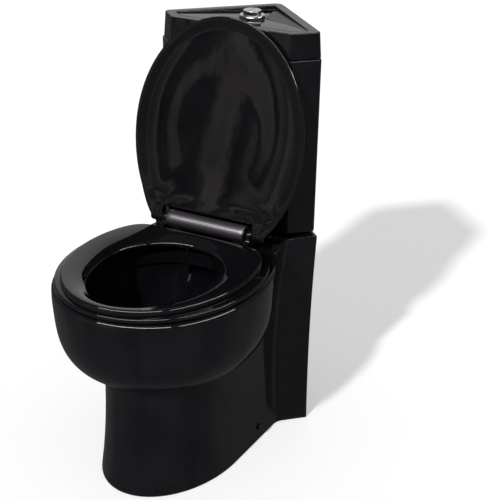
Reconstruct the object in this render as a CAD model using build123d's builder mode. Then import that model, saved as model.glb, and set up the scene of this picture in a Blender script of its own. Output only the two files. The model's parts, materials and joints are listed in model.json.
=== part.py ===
from build123d import *
import os
from math import atan2, cos, pi, radians, sin, sqrt

os.makedirs("parts", exist_ok=True)

# A corner toilet: millimetres, +Z up, +X to the right of someone facing it, -Y to the front.
# The origin lies on the floor, midway between the front of the bowl and the corner of the walls.

# Overall sizes
overall_depth = 653.0
lid_top = 780.0
deck_top = 396.0
rim_top = 387.0
front_y = -overall_depth / 2
back_y = overall_depth / 2

# Ceramic
wall = 12.0
tank_wall = 10.0
joint_gap = 4.0  # between the deck and the cistern, taken up by rubber
seam = 0.5  # between the cistern and its lid
rest_gap = 0.3  # between a piece that moves and its seat
slip = 0.05  # radial play of a pin in its hole
joint_play = 1.0  # how far a thread runs on past its nut

# Bowl: an oval whose front and rear halves differ, drawn in over a depth
bowl_half = 185.0
bowl_front = 213.0
bowl_rear = 262.0
bowl_centre = front_y + bowl_front
bowl_depth = 161.0
bowl_band = 10.0  # upright band at the rim, above the belly
bowl_round = 8.0
bowl_shift = 11.0  # how far the belly's centre moves back over its depth
belly_steps = (0.0, 0.25, 0.5, 0.68, 0.82, 0.91, 0.96)
belly_shell = 16.0
rim_turns = (0.0, 0.5, 1.0, pi / 2)  # how far round the rim's edge each level of it lies

# Foot and column
foot_centre = front_y + 270.0
foot_front = 190.0
foot_waist = 226.0  # height where the foot is narrowest, under the belly
side_half_floor = 124.0
side_half_waist = 116.5
side_half_deck = 134.0
facet_front_floor = back_y - 211.0
facet_front_deck = back_y - 207.0
reach_floor = back_y + 1.0
corner_round = 9.0
apex_round = 15.0
inner_blend = 30.0  # hollow corner between the side and the facet
deck_front = front_y + 406.0  # the deck stands above the rim behind this line

# Basin
mouth_half = 128.0
mouth_front = 183.0
mouth_rear = 147.0 - wall  # so that the wall stays clear of the hinge's washers
mouth_centre = front_y + 218.0
lip_depth = 42.0
under_lip = 10.0
basin_levels = ((0.0, 1.0), (45.0, 0.93), (95.0, 0.76), (145.0, 0.53), (185.0, 0.37), (225.0, 0.3))
basin_shift = 22.0

# Trapway and outlet
trap_bore = 32.0
trap_wall = 10.0
trap_bend = 44.0
trap_start_y = front_y + 258.0
trap_steps = (67.0, 120.0, 175.0)  # from there to where it turns up, over and down
trap_run = 98.0  # the level run that ends in the spigot
sump_level = 140.0
weir_level = 254.0
outlet_level = 180.0
spigot_radius = 51.0
spigot_bore = 40.0
spigot_length = 56.0
spigot_end = back_y - 77.0
recess_half = 72.0
recess_top = 262.0
recess_front = back_y - 173.0

# Cistern and its lid: a front, two facets square to the walls, and the two walls
tank_half = 126.0
tank_front_top = back_y - 205.0
tank_lean = 8.0
tank_draft = 3.0  # how far each wall face draws in over the cistern's height
tank_reach = back_y + apex_round * (sqrt(2) - 1)
tank_bottom = deck_top + joint_gap
tank_floor = 12.0
lid_height = 47.0
lid_half = 123.0
lid_front = back_y - 201.0
lid_reach = back_y - 1.0
lid_draft = 3.0
lid_thick = 12.0
lid_tongue = 9.0
tongue_play = 2.0
lid_border = 18.0
recess_front_depth = 0.8
recess_rear_depth = 9.0
tank_top = lid_top - lid_height - seam

# Flush valve, its connection to the pan, and the button above it
valve_y = back_y - 118.0
valve_thread = 29.8
valve_bore = 25.0
valve_flange = 42.0
valve_nut = 38.0
inlet_hole = 41.0
gasket_radius = 54.0
cage_radius = 40.0
cage_top = lid_top - 140.0
canister_radius = 13.0
canister_bore = 10.5
seal_thick = 3.0
duct_half = 30.0
duct_low = rim_top - 65.0
duct_high = rim_top - 44.0
duct_step = 4.0  # where the duct opens behind the basin's mouth

# Button: a collar through the lid, with two half buttons on springs and rods
collar_radius = 20.0
collar_bore = 17.3
collar_flange = 24.0
collar_thread = 19.4
collar_low = lid_top - 42.0
collar_floor = 3.0
flange_seat = lid_top - 5.0
flange_thick = 8.0
button_radius = 16.8
button_top = lid_top + 11.0
button_thick = 16.0
button_travel = 7.0
button_split = -2.5
split_gap = 0.6
rod_y = valve_y + 6.0
rod_radius = 2.5
rod_tip = 1.5
rod_x = {"full": 9.5, "half": -10.0}
rod_play = 0.5
spring_radius = 4.6
spring_wire = 0.6
spring_turns = 6

# Lift lever: the full rod tips it, and its fingers lift the canister's hook
lever_pivot_y = valve_y - 8.0
lever_pivot_z = lid_top - 88.0
lever_half = 15.0
lever_thick = 4.0
lever_finger = 16.5
pivot_radius = 2.0

# Fill valve
fill_x = -92.0
fill_y = back_y - 143.0
fill_thread = 10.4
fill_shank = 10.65  # the shank that the nut runs on, just wider than the tail below it
fill_tail = 45.0
fill_riser = 9.5
fill_top = lid_top - 90.0
float_radius = 27.0
float_low = lid_top - 180.0
float_height = 42.0
lever_arm = 22.0
lever_tail = 28.0  # the valve end, which balances the long arm
inlet_nut = 15.5
inlet_pass = 21.0

# Cistern bolts
bolt_x = 70.0
bolt_y = back_y - 171.0
bolt_radius = 4.0
bolt_hole = 6.5
bolt_length = 62.0

# Seat
ring_half = 181.0
ring_front = 217.0
ring_rear = 215.0
ring_centre = front_y + 3.0 + ring_front
ring_lift = 3.0  # height of the bumpers, and so of the ring above the rim
ring_thick = 20.0
ring_flange = 7.5  # height of the wide flange that rests on the rim
ring_groove = 1.5  # height of the groove between the flange and the upper slab
slab_half = 166.0  # the upper slab, inside the flange
slab_front = 212.5
slab_rear = 206.0
groove_in = 2.0  # how far the groove goes under the slab's edge
ring_tail = front_y + 354.5  # the rear edge, in front of the hinge
ring_corner = 28.0
flange_edge = 2.5
ring_edge_round = 5.0
hole_half = 110.0
hole_front = 166.0
hole_rear = 115.0
hole_centre = ring_centre - 11.0
hole_round = 6.0
hole_dip = 10.0  # how far the slab's top slopes down to the hole
hole_slope = 32.0
hole_slope_front = 24.0
bumper_radius = 7.0

# Hinge
hinge_y = front_y + 375.0
hinge_z = rim_top + 32.0
barrel_radius = 16.0
barrel_half = 80.0
barrel_bore = 13.0
end_cap = 2.5
lug_gap = 1.5
ring_lug = 10.0
cover_lug = 12.5
lug_radius = 10.0
shaft_radius = 4.0
damper_length = 50.0
damper_radius = 12.9
damper_inset = 3.0
shaft_start = 40.0
post_x = 64.0
post_radius = 8.0
post_foot = 15.0
stud_radius = 4.0
stud_length = 56.0
stud_hole = 6.5

# Cover, drawn in its own plane: u across, v from the hinge to the tip, w towards the seat
cover_lean = 10.5
cover_half = 174.0
cover_tip = 215.0
cover_heel = 230.0
cover_centre = 169.0
cover_thick = 8.0
cover_skin = 3.5
cover_round = 5.0
cover_lip = 5.0
cover_slope = 17.0  # width of the slanted border inside the lip
cover_crown = 6.0  # how far the back bulges
cover_lip_gap = 9.0  # between the closed cover's lip and the ring
cover_panel_start = 32.0

# Nuts, washers and pads
washer_radius = 13.0
washer_thick = 3.0
nut_hub = 7.5
nut_height = 10.0
nut_span = 26.0
nut_ear = 3.0
pad_radius = 9.0
pad_x = 120.0
pad_y = back_y - 165.0
pad_back = 45.0
bolt_head = 7.0
bolt_head_height = 5.5
stud_grip = 11.0

# Flush valve details
valve_tail = 14.0
flange_rise = 4.0
valve_seat_rise = 6.0
cage_low = tank_bottom + 70.0
cage_wall = 3.0
canister_foot = 28.0
canister_foot_thick = 6.0
canister_top = lid_top - 128.0
stem_half = 4.0
stem_thick = 4.0
hook_gap = 2.0
hook_rise = 3.3
hook_reach = 9.0
cheek_width = 14.0
lever_paddle = 19.0
lever_boss = 4.5
lever_top = lever_pivot_z + lever_thick / 2
half_rod_end = lever_top + button_travel + 2.0
rod_neck = lid_top - 72.0
flange_round = 3.0
button_round = 1.2
collar_nut = 27.0

# Fill valve details
fill_flange = 17.0
fill_head = 14.0
fill_bore = 6.0
fill_depth = 200.0  # how far the bore runs up inside the cistern
fill_link = 34.0
fill_pivot_rise = 4.0
fill_pin = 1.5
float_wall = 2.5
float_tab = 8.0
float_lever_half = 5.0
float_lever_thick = 3.0
float_lever_boss = 3.2
lever_tip = 7.0  # past the link
lever_cheek = 2.5
link_radius = 1.6

# Floor fixings
bracket_width = 50.0
bracket_depth = 26.0
bracket_thick = 4.0
bracket_block = 14.0
bracket_hole = 12.0
bracket_rise = 13.0  # above the screw
bracket_play = 1.0
screw_length = 30.0
cap_radius = 6.5
fixing_y = front_y + 371.0
fixing_z = 25.0
fixing_hole = 4.2
screw_radius = 2.9
screw_head = 5.2
screw_head_height = 2.0
cap_skin = 1.4

ring_low = rim_top + ring_lift
ring_top = ring_low + ring_thick
lug_inner = barrel_half + end_cap + lug_gap
lug_outer = lug_inner + ring_lug
ear_inner = lug_outer + lug_gap
ear_outer = ear_inner + cover_lug
side_to_side = (-1, 1)

cover_plane = Plane(
    origin=(0, hinge_y, hinge_z),
    x_dir=(1, 0, 0),
    z_dir=(0, -cos(radians(cover_lean)), sin(radians(cover_lean))),
)


def oval(plane, half, front, rear, centre):
    """An egg of two half ellipses that share their widest line."""
    with BuildSketch(plane) as egg:
        with BuildLine():
            EllipticalCenterArc((0, centre), half, rear, start_angle=0, arc_size=180)
            EllipticalCenterArc((0, centre), half, front, start_angle=180, arc_size=180)
        make_face()
    return egg.sketch.face()


def disc(plane, radius, *places, bore=0.0):
    """Round faces on a plane, one at each place, each with a bore if one is given."""
    with BuildSketch(plane) as rounds:
        with Locations(*places):
            Circle(radius)
            if bore:
                Circle(bore, mode=Mode.SUBTRACT)
    return rounds.sketch


def belly(step, inset):
    """One level of the bowl's outside: steep at the rim, tucked in fast near the bottom."""
    share = (1 - step**3.54) ** (1 / 4.46)
    top = rim_top - bowl_band - inset
    depth = bowl_depth - inset * 1.4
    level = Plane.XY.offset(top - step * depth)
    centre = bowl_centre + bowl_shift * step
    half = (bowl_half - inset) * share
    return oval(level, half, (bowl_front - inset) * share, (bowl_rear - inset) * share, centre)


def rim_plan(below, inset):
    """One level of the bowl's rim."""
    level = Plane.XY.offset(rim_top - below)
    return oval(level, bowl_half - inset, bowl_front - inset, bowl_rear - inset, bowl_centre)


def basin(depth, share, grow):
    """One level of the basin, below the lip."""
    level = Plane.XY.offset(rim_top - lip_depth - depth)
    centre = mouth_centre + basin_shift * (1 - share)
    half = (mouth_half + under_lip) * share + grow
    front = (mouth_front + under_lip) * share + grow
    return oval(level, half, front, (mouth_rear + under_lip) * share + grow, centre)


def foot(level, half, facet_front, reach, inset):
    """The plan of the foot and column: a half ellipse, two sides, two facets and two walls."""
    wide = half - inset
    ahead = foot_front * half / side_half_floor - inset
    turn = facet_front + inset * (sqrt(2) - 1)
    apex = reach - inset * sqrt(2)
    facet = (apex - wide - turn) / 2
    with BuildSketch(Plane.XY.offset(level)) as plan:
        with BuildLine():
            EllipticalCenterArc((0, foot_centre), wide, ahead, start_angle=180, arc_size=180)
            Polyline(
                (wide, foot_centre),
                (wide, turn),
                (wide + facet, turn + facet),
                (0, apex),
                (-wide - facet, turn + facet),
                (-wide, turn),
                (-wide, foot_centre),
            )
        make_face()
        inner = [v for v in plan.vertices() if abs(v.Y - turn) < 0.01]
        outer = [v for v in plan.vertices() if abs(v.Y - turn - facet) < 0.01]
        fillet(inner, inner_blend - inset)
        fillet(outer, corner_round)
        fillet(plan.vertices().sort_by(Axis.Y)[-1], apex_round)
    return plan.sketch.face()


def corner_plan(plane, half, front, reach, inset):
    """The plan of the cistern and its lid, drawn in by inset all round."""
    wide = half - inset * (sqrt(2) - 1)
    ahead = front + inset
    apex = reach - inset * sqrt(2)
    facet = (apex - wide - ahead) / 2
    with BuildSketch(plane) as plan:
        with BuildLine():
            Polyline(
                (-wide, ahead),
                (wide, ahead),
                (wide + facet, ahead + facet),
                (0, apex),
                (-wide - facet, ahead + facet),
                close=True,
            )
        make_face()
        fillet(plan.vertices().sort_by(Axis.Y)[:4], max(corner_round - inset * 0.5, 2.0))
        fillet(plan.vertices().sort_by(Axis.Y)[-1], max(apex_round - inset, 3.0))
    return plan.sketch.face()


def write(part, name):
    """Labels a finished piece and writes it."""
    print(name, len(part.solids()), round(part.volume))
    part.label = name
    export_step(part, f"parts/{name}.step")


# --- Pan -------------------------------------------------------------------------------------
trap_levels = (sump_level, weir_level, weir_level)
trap_path = FilletPolyline(
    (0, trap_start_y, sump_level),
    *[(0, trap_start_y + step, level) for step, level in zip(trap_steps, trap_levels)],
    (0, spigot_end - trap_run, outlet_level),
    (0, spigot_end - spigot_length + 6, outlet_level),
    radius=trap_bend,
)
trap_start = Plane(origin=trap_path @ 0, z_dir=trap_path % 0)
waist_reach = (reach_floor + tank_reach) / 2
duct_length = valve_y - mouth_centre - mouth_rear
with BuildPart() as pan:
    loft(
        [
            foot(0, side_half_floor, facet_front_floor, reach_floor, 0),
            foot(foot_waist, side_half_waist, facet_front_floor + 2, waist_reach, 0),
            foot(deck_top, side_half_deck, facet_front_deck, tank_reach, 0),
        ]
    )
    with BuildSketch(Plane.XY.offset(rim_top)):
        with Locations((0, deck_front)):
            Rectangle(4 * bowl_half, 2 * bowl_half, align=(Align.CENTER, Align.MAX))
    extrude(amount=deck_top, mode=Mode.SUBTRACT)
    loft([belly(step, 0) for step in belly_steps])
    extrude(rim_plan(bowl_band, 0.0), bowl_band - bowl_round)
    loft([rim_plan(bowl_round * (1 - sin(turn)), bowl_round * (1 - cos(turn))) for turn in rim_turns])

    # The hollow casting
    loft(
        [
            foot(-1, side_half_floor, facet_front_floor, reach_floor, wall),
            foot(foot_waist, side_half_waist, facet_front_floor + 2, waist_reach, wall),
            foot(rim_top - wall, side_half_deck, facet_front_deck, tank_reach, wall),
        ],
        mode=Mode.SUBTRACT,
    )
    with BuildPart(mode=Mode.PRIVATE) as beside_basin:
        loft([belly(step, belly_shell) for step in belly_steps])
        split(bisect_by=Plane.XZ.offset(-mouth_centre), keep=Keep.BOTTOM)
    add(beside_basin.part, mode=Mode.SUBTRACT)
    with BuildSketch(Plane.XY.offset(-1)):
        with Locations((0, recess_front)):
            Rectangle(2 * recess_half, back_y, align=(Align.CENTER, Align.MIN))
    extrude(amount=recess_top + 1, mode=Mode.SUBTRACT)

    # Basin, trapway, outlet and flush duct, first solid and then bored
    loft([basin(depth, share, wall) for depth, share in basin_levels])
    extrude(basin(0, 1, wall), lip_depth - wall)
    extrude(basin(*basin_levels[-1], wall), -wall)
    with BuildSketch(trap_start):
        Circle(trap_bore + trap_wall)
    sweep(path=trap_path)
    with BuildSketch(Plane.XZ.offset(-spigot_end)):
        with Locations((0, outlet_level)):
            Circle(spigot_radius)
    extrude(amount=spigot_length)
    with BuildSketch(Plane.XY.offset(duct_low - wall)):
        with Locations((0, mouth_centre + mouth_rear)):
            Rectangle(2 * (duct_half + trap_wall), duct_length, align=(Align.CENTER, Align.MIN))
        with Locations((0, valve_y)):
            Circle(inlet_hole + trap_wall)
    extrude(amount=duct_high - duct_low + 2 * wall)
    with BuildSketch(Plane.XY.offset(duct_high)):
        with Locations((0, valve_y)):
            Circle(inlet_hole + trap_wall)
    extrude(amount=rim_top - duct_high)

    loft([basin(depth, share, 0) for depth, share in basin_levels], mode=Mode.SUBTRACT)
    extrude(
        oval(Plane.XY.offset(rim_top - lip_depth), mouth_half, mouth_front, mouth_rear, mouth_centre),
        lip_depth,
        mode=Mode.SUBTRACT,
    )
    with BuildSketch(trap_start):
        Circle(trap_bore)
    sweep(path=trap_path, mode=Mode.SUBTRACT)
    with BuildSketch(Plane.XZ.offset(-spigot_end)):
        with Locations((0, outlet_level)):
            Circle(spigot_bore)
    extrude(amount=spigot_length - wall, mode=Mode.SUBTRACT)
    with BuildSketch(Plane.XY.offset(duct_low)):
        with Locations((0, mouth_centre + mouth_rear + duct_step)):
            Rectangle(2 * duct_half, duct_length, align=(Align.CENTER, Align.MIN))
    extrude(amount=duct_high - duct_low, mode=Mode.SUBTRACT)
    with BuildSketch(Plane.XY.offset(duct_low)):
        with Locations((0, valve_y)):
            Circle(inlet_hole)
    extrude(amount=deck_top - duct_low, mode=Mode.SUBTRACT)

    # Holes for the cistern bolts, the water inlet, the hinge studs and the floor screws
    with BuildSketch(Plane.XY.offset(deck_top)):
        with Locations((bolt_x, bolt_y), (-bolt_x, bolt_y)):
            Circle(bolt_hole)
        with Locations((fill_x, fill_y)):
            Circle(inlet_pass)
        with Locations((post_x, hinge_y), (-post_x, hinge_y)):
            Circle(stud_hole)
    extrude(amount=-(deck_top - rim_top + wall + 4), mode=Mode.SUBTRACT)
    with BuildSketch(Plane.YZ.offset(-side_half_floor - wall)):
        with Locations((fixing_y, fixing_z)):
            Circle(fixing_hole)
    extrude(amount=2 * (side_half_floor + wall), mode=Mode.SUBTRACT)
write(pan.part, "pan")

# --- Cistern and lid -------------------------------------------------------------------------
with BuildPart() as cistern:
    loft(
        [
            corner_plan(Plane.XY.offset(tank_bottom), tank_half, tank_front_top + tank_lean, tank_reach, 0),
            corner_plan(Plane.XY.offset(tank_top), tank_half, tank_front_top, tank_reach - tank_draft, 0),
        ]
    )
    loft(
        [
            corner_plan(
                Plane.XY.offset(tank_bottom + tank_floor),
                tank_half,
                tank_front_top + tank_lean,
                tank_reach,
                tank_wall,
            ),
            corner_plan(
                Plane.XY.offset(tank_top + 1), tank_half, tank_front_top, tank_reach - tank_draft, tank_wall
            ),
        ],
        mode=Mode.SUBTRACT,
    )
    with BuildSketch(Plane.XY.offset(tank_bottom)):
        with Locations((0, valve_y)):
            Circle(valve_thread + 0.7)
        with Locations((bolt_x, bolt_y), (-bolt_x, bolt_y)):
            Circle(bolt_hole)
        with Locations((fill_x, fill_y)):
            Circle(fill_shank + 0.6)
    extrude(amount=tank_floor, mode=Mode.SUBTRACT)
write(cistern.part, "cistern")

lid_bottom = lid_top - lid_height
recess_slope = atan2(recess_rear_depth - recess_front_depth, back_y - lid_front)
recess_plane = Plane(
    origin=(0, lid_front, lid_top - recess_front_depth),
    x_dir=(1, 0, 0),
    z_dir=(0, sin(recess_slope), cos(recess_slope)),
)
with BuildPart() as cistern_lid:
    loft(
        [
            corner_plan(
                Plane.XY.offset(lid_bottom),
                lid_half,
                lid_front - lid_draft,
                lid_reach + lid_draft * sqrt(2),
                0,
            ),
            corner_plan(Plane.XY.offset(lid_top), lid_half, lid_front, lid_reach, 0),
        ]
    )
    extrude(
        corner_plan(Plane.XY.offset(lid_bottom), lid_half, lid_front, lid_reach, tank_wall + tongue_play),
        -lid_tongue,
    )
    extrude(
        corner_plan(Plane.XY.offset(lid_bottom), lid_half, lid_front, lid_reach, 2 * tank_wall),
        lid_height - lid_thick - recess_rear_depth,
        mode=Mode.SUBTRACT,
    )
    extrude(
        corner_plan(Plane.XY.offset(lid_bottom), lid_half, lid_front, lid_reach, 2 * tank_wall),
        -lid_tongue,
        mode=Mode.SUBTRACT,
    )
    extrude(
        corner_plan(recess_plane, lid_half, 0.0, lid_reach - lid_front, lid_border),
        lid_height,
        mode=Mode.SUBTRACT,
    )
    button_place = (0, valve_y)
    extrude(disc(Plane.XY.offset(flange_seat), collar_flange + 0.6, button_place), lid_height, mode=Mode.SUBTRACT)
    extrude(disc(Plane.XY.offset(lid_bottom), collar_radius, button_place), lid_height, mode=Mode.SUBTRACT)
write(cistern_lid.part, "cistern_lid")

# --- Seat ring and cover ---------------------------------------------------------------------
ring_slab = ring_low + ring_flange + ring_groove


def ring_plan(level, half, front, rear, inset):
    """An outline of the ring: an egg cut off square behind, with rounded rear corners."""
    with BuildSketch(Plane.XY.offset(level)) as plan:
        add(oval(Plane.XY, half - inset, front - inset, rear - inset, ring_centre))
        with Locations((0, ring_tail - inset)):
            Rectangle(3 * ring_half, ring_half, align=(Align.CENTER, Align.MIN), mode=Mode.SUBTRACT)
        fillet(plan.vertices().group_by(Axis.Y)[-1], ring_corner - inset)
    return plan.sketch.face()


with BuildPart() as seat_ring:
    extrude(ring_plan(ring_low, ring_half, ring_front, ring_rear, 0.0), ring_flange)
    fillet(seat_ring.faces().sort_by(Axis.Z)[-1].edges(), flange_edge)
    extrude(
        ring_plan(ring_low + ring_flange / 2, slab_half, slab_front, slab_rear, groove_in),
        ring_flange / 2 + ring_groove + 1,
    )
    with BuildPart(mode=Mode.PRIVATE) as slab:
        extrude(ring_plan(ring_slab, slab_half, slab_front, slab_rear, 0.0), ring_top - ring_slab)
        fillet(slab.faces().sort_by(Axis.Z)[-1].edges(), ring_edge_round)
    add(slab.part)
    extrude(
        oval(Plane.XY.offset(ring_low - 1), hole_half, hole_front, hole_rear, hole_centre),
        ring_thick + 2,
        mode=Mode.SUBTRACT,
    )
    loft(
        [
            oval(Plane.XY.offset(ring_top - hole_dip), hole_half, hole_front, hole_rear, hole_centre),
            oval(
                Plane.XY.offset(ring_top),
                hole_half + hole_slope,
                hole_front + hole_slope_front,
                hole_rear + hole_slope_front,
                hole_centre,
            ),
        ],
        mode=Mode.SUBTRACT,
    )
    hole_edge = [e for e in seat_ring.edges() if abs(e.center().Z - ring_top + hole_dip) < 0.01]
    fillet(hole_edge, hole_round)
    for side in side_to_side:
        with BuildSketch(Plane.YZ.offset(side * (lug_inner + ring_lug / 2))):
            with Locations((hinge_y, hinge_z)):
                Circle(lug_radius)
                Rectangle(2 * lug_radius, hinge_z - ring_low - 1, align=(Align.CENTER, Align.MAX))
            with Locations((hinge_y, ring_low + 1)):
                lug_foot = (hinge_y - ring_tail + ring_edge_round + 2, ring_thick - 3)
                Rectangle(*lug_foot, align=(Align.MAX, Align.MIN))
            with Locations((hinge_y, hinge_z)):
                Circle(shaft_radius + slip, mode=Mode.SUBTRACT)
        extrude(amount=ring_lug / 2, both=True)
write(seat_ring.part, "seat_ring")

lip_level = hinge_z - ring_top - cover_lip_gap


def cover_plan(level, inset):
    """The cover's outline at a level of its own plane."""
    return oval(
        cover_plane.offset(level), cover_half - inset, cover_heel - inset, cover_tip - inset, cover_centre
    )


skin_level = lip_level - cover_thick
crown = (
    (-2.0, cover_round + 2),
    (cover_crown * 0.35, cover_lip + cover_slope),
    (cover_crown * 0.8, cover_half * 0.5),
    (cover_crown, cover_half * 0.8),
)
with BuildPart() as seat_cover:
    extrude(cover_plan(skin_level, 0.0), cover_thick)
    fillet(seat_cover.faces().sort_by(Axis((0, 0, 0), cover_plane.z_dir))[0].edges(), cover_round)
    loft([cover_plan(skin_level - bulge, inset) for bulge, inset in crown])
    loft(
        [cover_plan(lip_level, cover_lip)]
        + [cover_plan(skin_level - bulge + cover_skin, inset) for bulge, inset in crown[1:]],
        mode=Mode.SUBTRACT,
    )
    with BuildPart(mode=Mode.PRIVATE) as heel:
        with BuildSketch(cover_plane.offset(skin_level)):
            add(oval(Plane.XY, cover_half, cover_heel, cover_tip, cover_centre))
            with Locations((0, cover_panel_start)):
                Rectangle(3 * cover_half, 3 * cover_half, align=(Align.CENTER, Align.MIN), mode=Mode.SUBTRACT)
        extrude(amount=cover_thick)
    add(heel.part)
    with BuildSketch(cover_plane.offset(skin_level - cover_crown - 1)):
        with Locations((0, barrel_radius + 4.0)):
            Rectangle(2 * ear_inner, cover_heel, align=(Align.CENTER, Align.MAX))
        Rectangle(3 * cover_half, cover_heel, align=(Align.CENTER, Align.MAX))
    extrude(amount=cover_thick + cover_crown + 2, mode=Mode.SUBTRACT)
    for side in side_to_side:
        middle = Plane.YZ.offset(side * (ear_inner + cover_lug / 2))
        extrude(disc(middle, lug_radius, (hinge_y, hinge_z)), cover_lug / 2, both=True)
        extrude(
            disc(middle, shaft_radius + slip, (hinge_y, hinge_z)), cover_lug, both=True, mode=Mode.SUBTRACT
        )
write(seat_cover.part, "seat_cover")

ring_bumper_places = [
    (side * 0.78 * ring_half, ring_centre + along * 79.0) for side in side_to_side for along in side_to_side
]
with BuildPart() as ring_bumpers:
    extrude(disc(Plane.XY.offset(ring_low), bumper_radius, *ring_bumper_places), -(ring_lift - rest_gap))
write(ring_bumpers.part, "ring_bumpers")

# --- Hinge -----------------------------------------------------------------------------------
axis_place = (hinge_y, hinge_z)
with BuildPart() as hinge_barrel:
    extrude(disc(Plane.YZ, barrel_radius, axis_place, bore=barrel_bore), barrel_half, both=True)
write(hinge_barrel.part, "hinge_barrel")

with BuildPart() as barrel_end_caps:
    for side in side_to_side:
        face = Plane.YZ.offset(side * barrel_half)
        extrude(disc(face, barrel_radius - 0.5, axis_place, bore=shaft_radius + 0.4), side * end_cap)
write(barrel_end_caps.part, "barrel_end_caps")

for side, moved in ((1, "ring"), (-1, "cover")):
    with BuildPart() as damper:
        face = Plane.YZ.offset(side * (barrel_half - damper_inset))
        extrude(disc(face, damper_radius, axis_place), -side * damper_length)
        extrude(
            disc(face, shaft_radius + slip, axis_place),
            -side * (barrel_half - damper_inset - shaft_start + 1),
            mode=Mode.SUBTRACT,
        )
    write(damper.part, f"{moved}_damper")
    with BuildPart() as damper_shaft:
        face = Plane.YZ.offset(side * shaft_start)
        extrude(disc(face, shaft_radius, axis_place), side * (ear_outer - shaft_start))
    write(damper_shaft.part, f"{moved}_damper_shaft")

post_places = [(side * post_x, hinge_y) for side in side_to_side]
with BuildPart() as hinge_posts:
    extrude(disc(Plane.XY.offset(rim_top), post_foot, *post_places), ring_lift + 0.5)
    extrude(disc(Plane.XY.offset(rim_top), post_radius, *post_places), hinge_z - rim_top)
    extrude(
        disc(Plane.YZ, barrel_radius + slip, axis_place), barrel_half, both=True, mode=Mode.SUBTRACT
    )
    extrude(disc(Plane.XY.offset(rim_top), stud_radius, *post_places), stud_grip, mode=Mode.SUBTRACT)
write(hinge_posts.part, "hinge_posts")

with BuildPart() as hinge_studs:
    extrude(disc(Plane.XY.offset(rim_top + stud_grip), stud_radius, *post_places), -stud_length)
    chamfer(hinge_studs.edges().group_by(Axis.Z)[0], 1.0)
write(hinge_studs.part, "hinge_studs")


def washers(places, top, radius, bore, thick):
    """Flat washers or plain nuts whose upper faces lie at one level."""
    with BuildPart() as rounds:
        extrude(disc(Plane.XY.offset(top), radius, *places, bore=bore), -thick)
    return rounds.part


def wing_nuts(places, top, bore):
    """Wing nuts below a level: a hub with two ears."""
    with BuildPart() as nuts:
        with BuildSketch(Plane.XY.offset(top)):
            with Locations(*places):
                Circle(nut_hub)
                Circle(bore, mode=Mode.SUBTRACT)
        extrude(amount=-nut_height)
        with BuildSketch(Plane.XY.offset(top - 2)):
            with Locations(*places):
                SlotOverall(nut_span, nut_ear)
                Circle(nut_hub - 1, mode=Mode.SUBTRACT)
        extrude(amount=-(nut_height + 3))
    return nuts.part


under_rim = rim_top - wall
write(washers(post_places, under_rim, washer_radius, stud_radius + slip, washer_thick), "hinge_washers")
write(wing_nuts(post_places, under_rim - washer_thick, stud_radius + slip), "hinge_wing_nuts")

# --- Cistern fixings -------------------------------------------------------------------------
bolt_places = [(side * bolt_x, bolt_y) for side in side_to_side]
tank_inside = tank_bottom + tank_floor
with BuildPart() as cistern_bolts:
    head = Plane.XY.offset(tank_inside + washer_thick)
    with BuildSketch(head):
        with Locations(*bolt_places):
            RegularPolygon(bolt_head, 6)
    extrude(amount=bolt_head_height)
    extrude(disc(head, bolt_radius, *bolt_places), -bolt_length)
write(cistern_bolts.part, "cistern_bolts")
write(
    washers(bolt_places, tank_inside + washer_thick, washer_radius, bolt_radius + slip, washer_thick),
    "cistern_bolt_washers",
)
write(
    washers(bolt_places, under_rim, washer_radius, bolt_radius + slip, washer_thick), "under_deck_washers"
)
write(wing_nuts(bolt_places, under_rim - washer_thick, bolt_radius + slip), "cistern_wing_nuts")

pad_places = [(-pad_x, pad_y), (pad_x, pad_y), (0.0, back_y - pad_back)]
write(washers(pad_places, tank_bottom, pad_radius, 0.0, joint_gap), "cistern_pads")

with BuildPart() as close_coupling_gasket:
    gasket_place = (0, valve_y)
    extrude(
        disc(Plane.XY.offset(deck_top), gasket_radius, gasket_place, bore=valve_nut + 0.3), joint_gap
    )
    extrude(
        disc(Plane.XY.offset(deck_top), inlet_hole - 0.3, gasket_place, bore=valve_nut + 0.3), -nut_height
    )
write(close_coupling_gasket.part, "close_coupling_gasket")

# --- Flush valve -----------------------------------------------------------------------------
valve_place = (0, valve_y)
seal_level = tank_inside + washer_thick + valve_seat_rise
with BuildPart() as flush_valve_body:
    extrude(
        disc(Plane.XY.offset(tank_bottom - valve_tail), valve_thread, valve_place, bore=valve_bore),
        valve_tail + tank_floor + washer_thick,
    )
    extrude(
        disc(Plane.XY.offset(tank_inside + washer_thick), valve_flange, valve_place, bore=valve_bore), flange_rise
    )
    extrude(
        disc(Plane.XY.offset(tank_inside + washer_thick), valve_bore + 3, valve_place, bore=valve_bore),
        valve_seat_rise,
    )
    cage_ring = disc(Plane.XY.offset(cage_low), cage_radius, valve_place, bore=cage_radius - cage_wall)
    extrude(cage_ring, cage_top - cage_low)
    extrude(
        disc(Plane.XY.offset(cage_top), cage_radius, valve_place, bore=canister_radius + 0.6), -cage_wall
    )
    with BuildSketch(Plane.XY.offset(tank_inside + washer_thick)):
        with Locations(valve_place):
            with PolarLocations(cage_radius - cage_wall / 2, 4, start_angle=45):
                Rectangle(cage_wall, 4 * cage_wall)
    extrude(amount=cage_low - tank_inside - washer_thick)
    for side in side_to_side:
        with BuildSketch(Plane.YZ.offset(side * (lever_half + 0.5))):
            with Locations((lever_pivot_y, cage_top)):
                Rectangle(cheek_width, lever_pivot_z + 6 - cage_top, align=(Align.CENTER, Align.MIN))
            with Locations((lever_pivot_y, lever_pivot_z)):
                Circle(pivot_radius, mode=Mode.SUBTRACT)
        extrude(amount=side * cage_wall)
write(flush_valve_body.part, "flush_valve_body")

write(
    washers([valve_place], tank_inside + washer_thick, valve_flange - 1, valve_thread + 0.3, washer_thick),
    "flush_valve_washer",
)
write(
    washers([valve_place], tank_bottom, valve_nut, valve_thread + slip, nut_height), "flush_valve_nut"
)

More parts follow.
